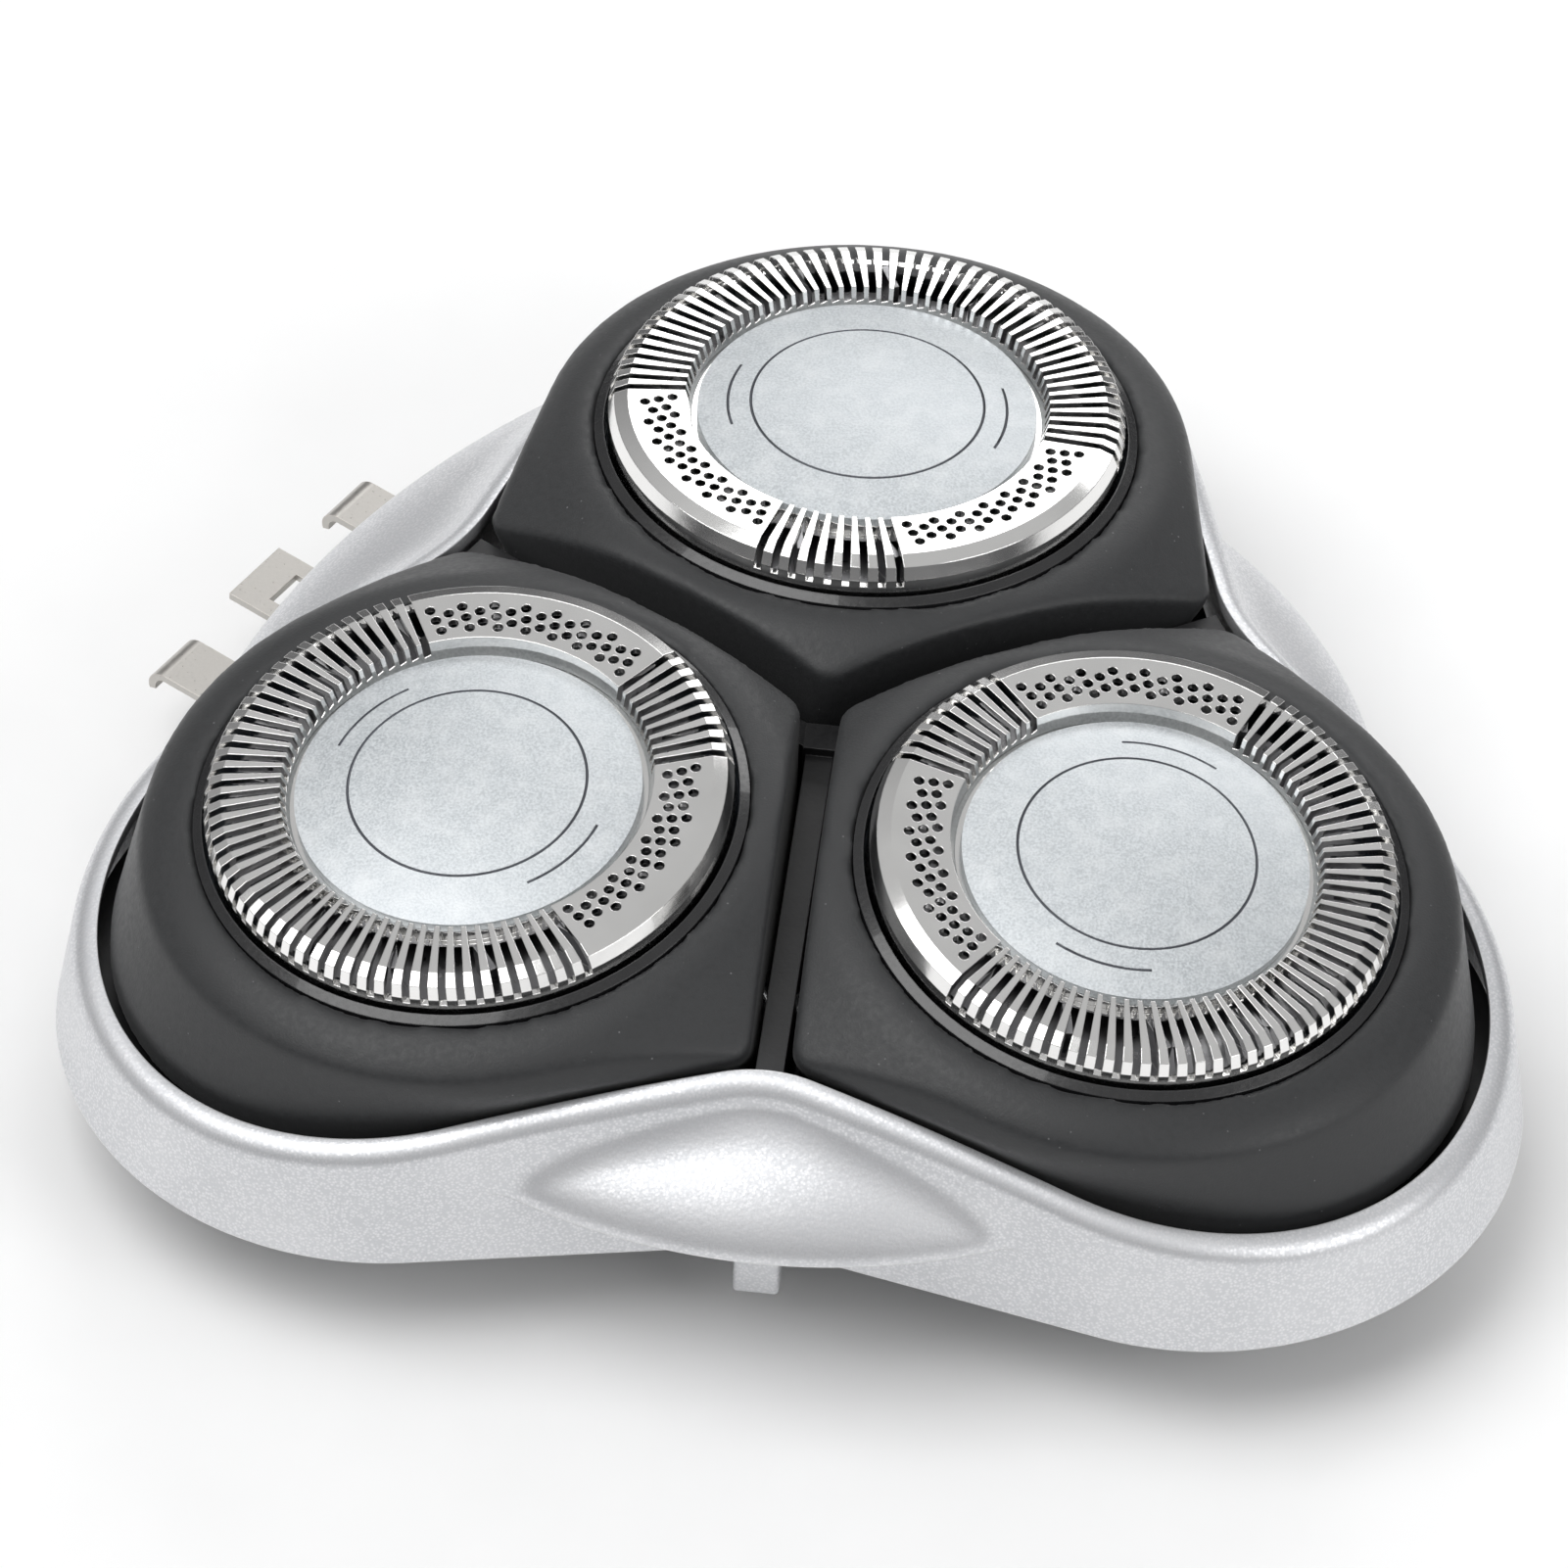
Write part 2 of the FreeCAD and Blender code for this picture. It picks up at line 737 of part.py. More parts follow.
def base_housing():
    """The silver trefoil skirt, high at its waists, with waist domes and pegs, hollow below."""
    body = new_body("base_housing")
    foot = sketch_on(body, "XY_Plane", "{skirt_height}")
    trefoil(foot, ("skirt_round", "skirt_centre"), ("skirt_waist", "waist_centre"))
    skirt = pad(body, foot, "{skirt_top} - {skirt_height}")
    skirt.TaperAngle = -size("skirt_draft")
    revolve(
        body,
        [
            ("{neck_radius}", "{dome_foot}"),
            ("{dome_low}", "{dome_foot}"),
            ("{dome_low} - {dome_reach} * 0.26", "{dome_foot} + {dome_rise} * 0.5"),
            ("{dome_low} - {dome_reach} * 0.6", "{dome_foot} + {dome_rise} * 0.82"),
            ("{dome_low} - {dome_reach}", "{dome_foot} + {dome_rise}"),
            ("{neck_radius}", "{dome_foot} + {dome_rise}"),
        ],
    )
    trim_rim(body)
    well = sketch_on(body, "XY_Plane", "{skirt_height} - 1")
    trefoil(well, ("well_round", "skirt_centre"), ("well_waist", "waist_centre"))
    pocket(body, well, "{lip_height} - {skirt_height} + 1", up=True)
    mouth = sketch_on(body, "XY_Plane", "{skirt_top} + 1")
    trefoil(mouth, ("rim_round", "rim_centre"), ("rim_waist", "waist_centre"))
    pocket(body, mouth, "{skirt_top} - {skirt_height} + 2")
    peg = sketch_on(body, "XY_Plane", "{peg_foot}")
    rectangle(
        peg,
        "{peg_reach} - {peg_thick} / 2",
        "{peg_reach} + {peg_thick} / 2",
        "0 - {peg_wide} / 2",
        "{peg_wide} / 2",
    )
    sketch_turn(peg, azimuth(0) + 180)
    pegs = pad(body, peg, "{skirt_height} - {peg_foot} + 1")
    around(body, [pegs], "{peg_count}", span=120)
    return body


def trim_rim(body):
    """Cuts the skirt's top along a cone through the brow of each waist, and rounds the edge."""
    above = sketch_on(body, "XZ_Plane")
    far = "{brow_reach} * 2"
    polygon(
        above,
        [
            ("0", "{brow_height} + {brow_reach} * tan({rim_fall})"),
            (far, "{brow_height} - {brow_reach} * tan({rim_fall})"),
            (far, "{brow_height} * 2"),
            ("0", "{brow_height} * 2"),
        ],
    )
    trimmed = body.newObject("PartDesign::Groove", "Groove")
    trimmed.Profile = above
    trimmed.ReferenceAxis = (above, ["V_Axis"])
    trimmed.Angle = 360
    doc.recompute()
    shoulder = body.newObject("PartDesign::Fillet", "Fillet")
    shoulder.Base = (trimmed, cone_edges(trimmed.Shape))
    bind(shoulder, "Radius", "{shoulder}")


def cone_edges(shape):
    """The names of the edges that lie on the cone of the rim."""
    fall = math.tan(math.radians(size("rim_fall")))

    def above_cone(point):
        reach = math.hypot(point.x, point.y)
        return point.z - size("brow_height") + (reach - size("brow_reach")) * fall

    return [
        f"Edge{number}"
        for number, edge in enumerate(shape.Edges, start=1)
        if all(abs(above_cone(vertex.Point)) < 0.001 for vertex in edge.Vertexes)
    ]


def sketch_turn(sketch, angle):
    """Turns a sketch about the body's Z axis."""
    sketch.AttachmentOffset = FreeCAD.Placement(
        sketch.AttachmentOffset.Base, FreeCAD.Rotation(FreeCAD.Vector(0, 0, 1), angle)
    )


def screw_posts(sketch, radius):
    """Circles at the three cover screws and the two clip screws."""
    for index in range(3):
        circle(sketch, radius, *on_arm("screw_reach", index))
    for side in (-1, 1):
        circle(sketch, radius, *clip_screw_place(side))


def clip_screw_place(side):
    turn = "{clip_azimuth}"
    reach = "{clip_screw_reach}"
    spread = f"{side} * {{clip_screw_spread}}"
    return (
        f"{reach} * cos({turn}) - {spread} * sin({turn})",
        f"{reach} * sin({turn}) + {spread} * cos({turn})",
    )


def carrier_deck():
    """The plate over the gears, with a hole for each spring cup and posts for the screws."""
    body = new_body("carrier_deck")
    plate = sketch_on(body, "XY_Plane", "{deck_foot}")
    trefoil(plate, ("deck_round", "floor_centre"), ("deck_waist", "waist_centre"))
    for index in range(3):
        circle(plate, "{cup_radius} + 0.3", *on_arm("gear_distance", index))
    pad(body, plate, "{deck_thick}")
    posts = sketch_on(body, "XY_Plane", "{deck_foot}")
    screw_posts(posts, "{boss_radius}")
    pad(body, posts, "{deck_foot} - {floor_foot} - {floor_thick}", up=False)
    bores = sketch_on(body, "XY_Plane", "{floor_foot}")
    screw_posts(bores, "{screw_radius}")
    pocket(body, bores, "{screw_long}", up=True)
    return body


def pod_carrier(pins):
    """Three arms from a middle block, standing in the gaps between the pods."""
    body = doc.addObject("PartDesign::Body", "arms")
    block = sketch_on(body, "XY_Plane", "{deck_foot} + {deck_thick}")
    rectangle(block, "-{hub_block} / 2", "{hub_block} / 2", "-{hub_block} / 2", "{hub_block} / 2")
    pad(body, block, "{arm_top} - {deck_foot} - {deck_thick} + {hub_block} * 0.3")
    arm = sketch_on(body, "XY_Plane", "{deck_foot} + {deck_thick}")
    rectangle(arm, "0", "{arm_reach}", "-{arm_wide} / 2", "{arm_wide} / 2")
    sketch_turn(arm, azimuth(0) + 60)
    arms = pad(body, arm, "{arm_top} - {deck_foot} - {deck_thick}")
    around(body, [arms], "{head_count}")
    return keep(cut(body, pins), "pod_carrier")


def bottom_cover():
    """The floor of the unit with the neck collar and the drive opening."""
    body = new_body("bottom_cover")
    floor = sketch_on(body, "XY_Plane", "{floor_foot}")
    trefoil(floor, ("floor_round", "floor_centre"), ("floor_waist", "waist_centre"))
    pad(body, floor, "{floor_thick}")
    collar = sketch_on(body, "XY_Plane")
    circle(collar, "{collar_radius}")
    circle(collar, "{neck_radius}")
    pad(body, collar, "{floor_foot} + {floor_thick} / 2")
    holes = sketch_on(body, "XY_Plane", "{floor_foot}")
    circle(holes, "{drive_hole}")
    screw_posts(holes, "{screw_radius} + 0.05")
    for index in range(3):
        circle(holes, "{axle_radius}", *on_arm("gear_distance", index))
    pocket(body, holes, "{floor_thick} * 1.2", up=True)
    return body


def gear_axles():
    """Three short pins in the floor on which the driven gears turn."""
    pins = []
    for index in range(3):
        axle = solid("Cylinder", Radius="{axle_radius}", Height="{axle_top} - {floor_foot}")
        axle.Placement = turned(azimuth(index), size("gear_distance"))
        pins.append(raise_to(axle, "{floor_foot}"))
    return keep(joined(*pins), "gear_axles")


def screw(x, y, seat):
    """A pan-head screw pointing up, with a cross recess; `seat` is the height under its head."""
    head = solid("Cylinder", Radius="{screw_head}", Height="{screw_head_thick}")
    raise_to(head, f"{seat} - {{screw_head_thick}}")
    shank = solid("Cylinder", Radius="{screw_radius}", Height="{deck_foot} - " + seat)
    raise_to(shank, seat)
    bars = []
    for long, wide in (("1.9", "0.4"), ("0.4", "1.9")):
        bar = solid("Box", Length=long, Width=wide, Height="{screw_head_thick} * 0.6")
        bind(bar, "Placement.Base.x", f"-{long} / 2")
        bind(bar, "Placement.Base.y", f"-{wide} / 2")
        bars.append(raise_to(bar, f"{seat} - {{screw_head_thick}}"))
    whole = cut(joined(head, shank), joined(*bars))
    bind(whole, "Placement.Base.x", x)
    bind(whole, "Placement.Base.y", y)
    return whole


def screws():
    """The cover screws under the lobes and the two screws of the hinge clip."""
    cover = [screw(*on_arm("screw_reach", index), "{floor_foot}") for index in range(3)]
    keep(joined(*cover), "cover_screws")
    clip = [screw(*clip_screw_place(side), "{clip_height}") for side in (-1, 1)]
    keep(joined(*clip), "clip_screws")


def hinge_clip():
    """The spring-steel clip: a flat root and three fingers past the skirt, two of them curled."""
    body = new_body("hinge_clip", turned(size("clip_azimuth")))
    root = sketch_on(body, "XY_Plane", "{clip_height}")
    half = "{clip_spread} + {clip_side_wide} / 2"
    gap = "{clip_spread} - {clip_side_wide} / 2"
    tongue = "{clip_middle_wide} / 2"
    polygon(
        root,
        [
            ("{clip_inner}", f"0 - ({half})"),
            ("{clip_outer} - {clip_curl}", f"0 - ({half})"),
            ("{clip_outer} - {clip_curl}", f"0 - ({gap})"),
            ("{clip_bridge}", f"0 - ({gap})"),
            ("{clip_bridge}", f"0 - {tongue}"),
            ("{clip_outer}", f"0 - {tongue}"),
            ("{clip_outer}", tongue),
            ("{clip_bridge}", tongue),
            ("{clip_bridge}", gap),
            ("{clip_outer} - {clip_curl}", gap),
            ("{clip_outer} - {clip_curl}", half),
            ("{clip_inner}", half),
        ],
    )
    pad(body, root, "{clip_sheet}")
    holes = sketch_on(body, "XY_Plane", "{clip_height}")
    for side in (-1, 1):
        circle(holes, "{screw_radius} + 0.05", "{clip_screw_reach}", f"{side} * {{clip_screw_spread}}")
    slit = "{clip_window} / 2"
    rectangle(holes, "{clip_bridge} + 1", "{clip_outer} - {clip_window_bar}", f"0 - {slit}", slit)
    pocket(body, holes, "{clip_sheet} * 1.5", up=True)
    for side in (-1, 1):
        curl = body.newObject("Sketcher::SketchObject", "Sketch")
        plane = next(item for item in body.Origin.OriginFeatures if item.Role == "XZ_Plane")
        curl.AttachmentSupport = (plane, "")
        curl.MapMode = "FlatFace"
        bind(curl, "AttachmentOffset.Base.z", f"0 - {side} * {{clip_spread}}")
        lip_section(curl)
        lip = body.newObject("PartDesign::Pad", "Pad")
        lip.Profile = curl
        lip.Midplane = True
        bind(lip, "Length", "{clip_side_wide}")
    return body


def lip_section(sketch):
    """The side view of an outer finger's tip, curling down through a little over a quarter turn."""
    centre = FreeCAD.Vector(
        size("clip_outer") - size("clip_curl"), size("clip_height") - size("clip_curl") * 0.6, 0
    )
    outer = size("clip_sheet") + size("clip_curl") * 0.6
    inner = size("clip_curl") * 0.6
    tip = math.radians(-20)
    normal = FreeCAD.Vector(0, 0, 1)
    sketch.addGeometry(Part.ArcOfCircle(Part.Circle(centre, normal, outer), tip, math.pi / 2))
    sketch.addGeometry(Part.LineSegment(centre + polar(outer, 90), centre + polar(inner, 90)))
    sketch.addGeometry(Part.ArcOfCircle(Part.Circle(centre, normal, inner), tip, math.pi / 2))
    sketch.addGeometry(Part.LineSegment(centre + polar(inner, -20), centre + polar(outer, -20)))


def gear_outline(sketch, teeth):
    """A spur gear's outline: each tooth has two straight-sided flanks, a tip arc and a root arc."""
    module = size("gear_module")
    pitch = module * teeth / 2
    tip = pitch + module
    root = pitch - 1.2 * module
    step = 360 / teeth
    slack = math.degrees(size("gear_backlash") / pitch)
    at_pitch = step / 4 - slack / 2
    at_tip = at_pitch - math.degrees(module * math.tan(math.radians(20)) / tip)
    at_root = at_pitch + math.degrees(1.1 * module * math.tan(math.radians(20)) / root)
    middle = FreeCAD.Vector()
    for tooth in range(int(teeth)):
        turn = tooth * step
        flank = [(root, at_root), (pitch, at_pitch), (tip, at_tip)]
        rising = [polar(radius, turn - angle) for radius, angle in flank]
        falling = [polar(radius, turn + angle) for radius, angle in reversed(flank)]
        for start, end in zip(rising, rising[1:]):
            sketch.addGeometry(Part.LineSegment(start, end))
        sketch.addGeometry(arc_about(middle, tip, turn - at_tip, turn + at_tip))
        for start, end in zip(falling, falling[1:]):
            sketch.addGeometry(Part.LineSegment(start, end))
        sketch.addGeometry(arc_about(middle, root, turn + at_root, turn + step - at_root))


def sun_gear():
    """The middle gear, turned half a tooth so that it meshes with all three driven gears."""
    body = new_body("sun_gear")
    blank = sketch_on(body, "XY_Plane", "{gear_foot}")
    gear_outline(blank, size("sun_teeth"))
    circle(blank, "{sun_shaft} - 0.5")
    sketch_turn(blank, azimuth(0))
    pad(body, blank, "{gear_thick}")
    return body


def drive_coupling():
    """The input shaft below the sun gear, with a square socket for the handle's drive pin."""
    body = new_body("drive_coupling")
    revolve(
        body,
        [
            ("0", "{coupling_foot}"),
            ("{sun_shaft}", "{coupling_foot}"),
            ("{sun_shaft}", "{gear_foot}"),
            ("{sun_shaft} - 0.5", "{gear_foot}"),
            ("{sun_shaft} - 0.5", "{gear_foot} + {gear_thick}"),
            ("0", "{gear_foot} + {gear_thick}"),
        ],
    )
    socket = sketch_on(body, "XY_Plane", "{coupling_foot}")
    circle(socket, "{drive_bore}")
    pocket(body, socket, "{drive_bore_deep}", up=True)
    keyway = sketch_on(body, "XY_Plane", "{coupling_foot}")
    rectangle(keyway, "-{drive_bore} - 0.6", "{drive_bore} + 0.6", "-{key_wide} / 2", "{key_wide} / 2")
    pocket(body, keyway, "{drive_bore_deep} / 2", up=True)
    return body


def driven_gear(index):
    """A gear on its axle, with the tall cup that holds a coupling spring and a spindle's foot."""
    body = new_body(f"driven_gear_{index + 1}", turned(azimuth(index), size("gear_distance")))
    blank = sketch_on(body, "XY_Plane", "{gear_foot}")
    gear_outline(blank, size("driven_teeth"))
    sketch_turn(blank, 180 / size("driven_teeth"))
    pad(body, blank, "{gear_thick}")
    cup = sketch_on(body, "XY_Plane", "{gear_foot}")
    circle(cup, "{cup_radius}")
    pad(body, cup, "{cup_top} - {gear_foot}")
    bore = sketch_on(body, "XY_Plane", "{cup_top}")
    circle(bore, "{cup_bore}")
    pocket(body, bore, "{cup_top} - {cup_floor}")
    axle = sketch_on(body, "XY_Plane", "{gear_foot}")
    circle(axle, "{axle_radius} + 0.04")
    pocket(body, axle, "{axle_top} - {gear_foot} + 0.05", up=True)
    return body


def coil(label, head, reach, radius, wire, pitch, foot, top):
    """A round-wire compression spring standing upright under a head, between two heights."""
    length = top - foot - wire
    path = Part.makeHelix(pitch, length, radius)
    start = Part.Circle(FreeCAD.Vector(radius, 0, 0), FreeCAD.Vector(0, 1, 0), wire / 2)
    section = Part.Wire(start.toShape())
    sweep = Part.Wire(path).makePipeShell([section], True, True)
    spring = doc.addObject("Part::Feature", label)
    spring.Shape = sweep
    return keep(spring, label, turned(azimuth(head), reach, 0, foot + wire / 2))


def coupling_spring(index):
    """The spring in a gear's cup that pushes the spindle up against its cutter."""
    return coil(
        f"coupling_spring_{index + 1}",
        index,
        size("gear_distance"),
        size("drive_spring_radius"),
        size("drive_spring_wire"),
        size("drive_spring_pitch"),
        size("cup_floor") + 0.02,
        size("spindle_foot") - 0.02,
    )


def pod_spring(index):
    """The spring between the deck and the outer end of a pod."""
    return coil(
        f"pod_spring_{index + 1}",
        index,
        size("pod_spring_reach"),
        size("pod_spring_radius"),
        size("pod_spring_wire"),
        size("pod_spring_pitch"),
        size("deck_foot") + size("deck_thick"),
        size("pod_spring_top") - 0.02,
    )


def spindle(index):
    """A drive spindle: a round foot in the cup, a thin neck and a rounded square head."""
    place = turned(azimuth(index), size("gear_distance"))
    foot = solid("Cylinder", Radius="{spindle_skirt}", Height="{spindle_foot_long}")
    raise_to(foot, "{spindle_foot}")
    neck_top = "{spindle_head} - {spindle_foot} - {spindle_foot_long} / 2"
    neck = solid("Cylinder", Radius="{spindle_neck}", Height=neck_top)
    raise_to(neck, "{spindle_foot} + {spindle_foot_long} / 2")
    ball = raise_to(solid("Sphere", Radius="{spindle_ball}"), "{spindle_head}")
    side = "{spindle_side}"
    block = solid("Box", Length=side, Width=side, Height=side)
    bind(block, "Placement.Base.x", f"-{side} / 2")
    bind(block, "Placement.Base.y", f"-{side} / 2")
    raise_to(block, f"{{spindle_head}} - {side} / 2")
    return keep(joined(foot, neck, common(ball, block)), f"spindle_{index + 1}", place)


def check_and_export():
    """Stops on any failed object, then writes each sub-part to its own file."""
    doc.recompute()
    failed = [item.Name for item in doc.Objects if {"Invalid", "Error"} & set(item.State)]
    if failed:
        raise RuntimeError(f"failed objects: {failed}")
    os.makedirs("parts", exist_ok=True)
    for feature in PARTS:
        shape = feature.Shape
        if shape.isNull() or not shape.isValid() or not shape.Solids:
            raise RuntimeError(f"bad shape: {feature.Label}")
        shape.exportStep(f"parts/{feature.Label}.step")
        print(f"{feature.Label}: {shape.Volume:.1f} mm3, {len(shape.Solids)} solid(s)")


for head in range(int(size("head_count"))):
    trim_disc(head)
    guard(head)
    cutter_blades(head)
    cutter_carrier(head)
    retaining_ring(head)
    pod_frame(head)
    pod_cover(head)
    pod_spring(head)
    driven_gear(head)
    coupling_spring(head)
    spindle(head)
base_housing()
carrier_deck()
pod_carrier(pivot_pins())
bottom_cover()
gear_axles()
screws()
hinge_clip()
sun_gear()
drive_coupling()
check_and_export()
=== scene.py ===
import json
import math

import bpy
from mathutils import Matrix, Vector


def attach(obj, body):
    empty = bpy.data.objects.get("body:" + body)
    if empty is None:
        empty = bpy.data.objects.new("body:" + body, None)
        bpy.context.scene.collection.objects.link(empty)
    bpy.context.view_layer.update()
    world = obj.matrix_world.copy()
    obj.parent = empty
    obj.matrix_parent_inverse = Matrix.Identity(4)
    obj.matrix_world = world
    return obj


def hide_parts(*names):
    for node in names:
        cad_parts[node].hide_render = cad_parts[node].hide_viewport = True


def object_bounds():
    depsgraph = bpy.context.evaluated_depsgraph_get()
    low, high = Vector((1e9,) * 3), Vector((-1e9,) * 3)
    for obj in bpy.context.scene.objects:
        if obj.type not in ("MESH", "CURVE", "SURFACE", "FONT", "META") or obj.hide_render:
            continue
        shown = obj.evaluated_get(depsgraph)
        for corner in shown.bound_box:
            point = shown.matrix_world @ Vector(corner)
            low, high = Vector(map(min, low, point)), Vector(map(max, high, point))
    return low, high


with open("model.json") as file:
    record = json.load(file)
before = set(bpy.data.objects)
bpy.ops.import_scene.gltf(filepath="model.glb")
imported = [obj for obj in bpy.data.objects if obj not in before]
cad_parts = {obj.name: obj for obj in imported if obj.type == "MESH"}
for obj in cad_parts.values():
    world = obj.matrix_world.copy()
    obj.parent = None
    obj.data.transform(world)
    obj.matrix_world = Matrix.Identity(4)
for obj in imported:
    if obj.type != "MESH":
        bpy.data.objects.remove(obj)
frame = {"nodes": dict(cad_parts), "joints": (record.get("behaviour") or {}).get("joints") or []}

NODES = frame["nodes"]
CAD_BOX = [list(corner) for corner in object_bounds()]
HEADS = (1, 2, 3)
MM = 0.001


# The silver housing, in millimetres. Its rim falls from a brow at each waist to the lobes.
BROW_REACH = 22.3
BROW_HEIGHT = 16.0
RIM_FALL = math.tan(math.radians(19.6))
SKIRT_FOOT = 5.6
SKIRT_CROWN = 16.0
# Each outline: a lobe's distance and radius, then a waist arc's distance and radius.
FOOT_OUTLINE = (22.2, 15.5, 30.0, 6.9)
CROWN_OUTLINE = (19.9, 15.9, 30.0, 7.7)
SHOULDER = 1.1
LIP_THICK = 1.15
LIP_ROUND = 0.1
LIP_DEPTH = 1.0
SKIRT_WALL = 0.5
# Each dome: its waist's azimuth, how far it reaches at its foot, and how round it is in plan.
DOMES = ((30, 27.1, 27.1), (150, 29.0, 44.0), (270, 27.8, 27.8))
DOME_FOOT = 10.0
# Above its foot a dome leans in by DOME_REACH over DOME_RISE, faster towards its top.
DOME_REACH = 5.3
DOME_RISE = 4.0
DOME_CURVE = 1.7
# The width of the soft crease round a dome, at its foot and what is added further up.
CREASE_LOW = 0.4
CREASE_GROWTH = 2.0
PEG_AZIMUTHS = (-90, 30)
PEG_REACH = 23.15
PEG_WIDE = 2.2
PEG_THICK = 1.2
PEG_FOOT = 3.0
PEG_OVERLAP = 0.8
PEG_ROUND = 0.25
# How finely the housing is drawn: points along an outline and levels up its wall.
LOBE_POINTS = 100
WAIST_POINTS = 24
STRAIGHT_POINTS = 24
LOW_LEVELS = 6
HIGH_LEVELS = 26
SHOULDER_LEVELS = 8
LOW_SHARE = 0.75
RIM_ROUNDS = 8
CREASE_ANGLE = math.radians(50)

# The lines engraved in the trim discs: a circle and two short arcs, in millimetres.
LINE_RADIUS = 5.6
ARC_LINE_RADIUS = 6.7
LINE_HALF_WIDTH = 0.065
ARC_HALF_SPAN = math.radians(20)
# The direction of the short engraved arcs of each trim disc, from outward, in degrees.
ARC_TURNS = {1: -89, 2: -68, 3: -68}

# The even mesh and the smoothing rounds that soften the edges of the pod covers.
POD_VOXEL = 0.25 * MM
POD_ROUNDS = 8


# ---------------------------------------------------------------- hand-made pieces


def polar(radius, angle):
    return Vector((radius * math.cos(angle), radius * math.sin(angle)))


def trefoil_outline(lobe_reach, lobe_round, waist_reach, waist_round):
    """Points round a trefoil, the same number on each arc and straight of any trefoil."""
    third = 2 * math.pi / 3
    lobe = Vector((lobe_reach, 0.0))
    waist = polar(waist_reach, third / 2)
    spoke = waist - lobe
    bearing = math.atan2(spoke.y, spoke.x)
    touch = bearing - math.acos((lobe_round + waist_round) / spoke.length)
    next_lobe = polar(lobe_reach, third)
    marks = [lobe + polar(lobe_round, angle) for angle in spread(-touch, touch, LOBE_POINTS)]
    marks += straight(marks[-1], waist - polar(waist_round, touch))
    waist_angles = spread(touch, third - touch, WAIST_POINTS)
    marks += [waist - polar(waist_round, angle) for angle in waist_angles]
    marks += straight(marks[-1], next_lobe + polar(lobe_round, third - touch))
    points = []
    for sector in range(3):
        turn = Matrix.Rotation(math.pi / 2 + sector * third, 2)
        points += [turn @ mark for mark in marks]
    return points


def straight(start, end):
    """Points between two places, both left out."""
    return [start.lerp(end, share) for share in spread(0, 1, STRAIGHT_POINTS)[1:-1]]


def spread(start, end, count):
    """Evenly spaced values, both ends included."""
    return [start + (end - start) * index / (count - 1) for index in range(count)]


def wall_point(foot, crown, height):
    """The point at a height on the straight wall line between the foot and crown outlines."""
    return foot.lerp(crown, (height - SKIRT_FOOT) / (SKIRT_CROWN - SKIRT_FOOT))


def rim_height(foot, crown):
    """The height at which a wall line meets the cone of the rim, closer with each round."""
    height = BROW_HEIGHT
    for _ in range(RIM_ROUNDS):
        reach = wall_point(foot, crown, height).length
        height = BROW_HEIGHT - (reach - BROW_REACH) * RIM_FALL
    return height


def wall_section(top):
    """The wall at one place as (inset, height), up outside, over the rolled rim and down inside.

    The level of the dome's foot comes twice, below and above the dome's flat underside."""
    rise = top - SHOULDER
    split = min(DOME_FOOT, SKIRT_FOOT + LOW_SHARE * (rise - SKIRT_FOOT))
    heights = spread(SKIRT_FOOT, split, LOW_LEVELS) + spread(split, rise, HIGH_LEVELS)
    wall = [(0.0, height) for height in heights]
    turns = spread(0, math.pi / 2, SHOULDER_LEVELS + 1)[1:]
    shoulder = [
        (SHOULDER * (1 - math.cos(turn)), rise + SHOULDER * math.sin(turn)) for turn in turns
    ]
    lip = top - LIP_DEPTH
    inside = [(LIP_THICK, top - LIP_ROUND), (LIP_THICK, lip), (SKIRT_WALL, lip), (SKIRT_WALL, SKIRT_FOOT)]
    return wall + shoulder + inside


def pushed_out(point, height):
    """Swells a point of the outer wall to the nearest dome, with a soft crease between them."""
    ways = [(polar(1, math.radians(azimuth)), low, plan) for azimuth, low, plan in DOMES]
    outward, low, plan = max(ways, key=lambda way: way[0].dot(point))
    centre = outward * (low - plan)
    rise = max((height - DOME_FOOT) / DOME_RISE, 0.0)
    dome = plan - DOME_REACH * rise**DOME_CURVE
    crease = CREASE_LOW + CREASE_GROWTH * min(rise, 1.0)
    arm = point - centre
    reach = arm.length
    overlap = max(crease - abs(reach - dome), 0.0) / crease
    return centre + arm * ((max(reach, dome) + overlap**2 * crease / 4) / reach)


def box(centre, sides):
    """The corners and faces of an upright box."""
    corners = [
        Vector(centre) + Vector((x * sides[0] / 2, y * sides[1] / 2, z * sides[2] / 2))
        for z in (-1, 1)
        for x, y in ((-1, -1), (1, -1), (1, 1), (-1, 1))
    ]
    faces = [(0, 3, 2, 1), (4, 5, 6, 7)]
    faces += [(i, (i + 1) % 4, (i + 1) % 4 + 4, i + 4) for i in range(4)]
    return corners, faces


def made_object(name, points, faces):
    """A smooth-shaded object from points in millimetres."""
    mesh = bpy.data.meshes.new(name)
    mesh.from_pydata([point * MM for point in points], [], faces)
    mesh.update()
    mesh.shade_smooth()
    made = bpy.data.objects.new(name, mesh)
    bpy.context.scene.collection.objects.link(made)
    return made


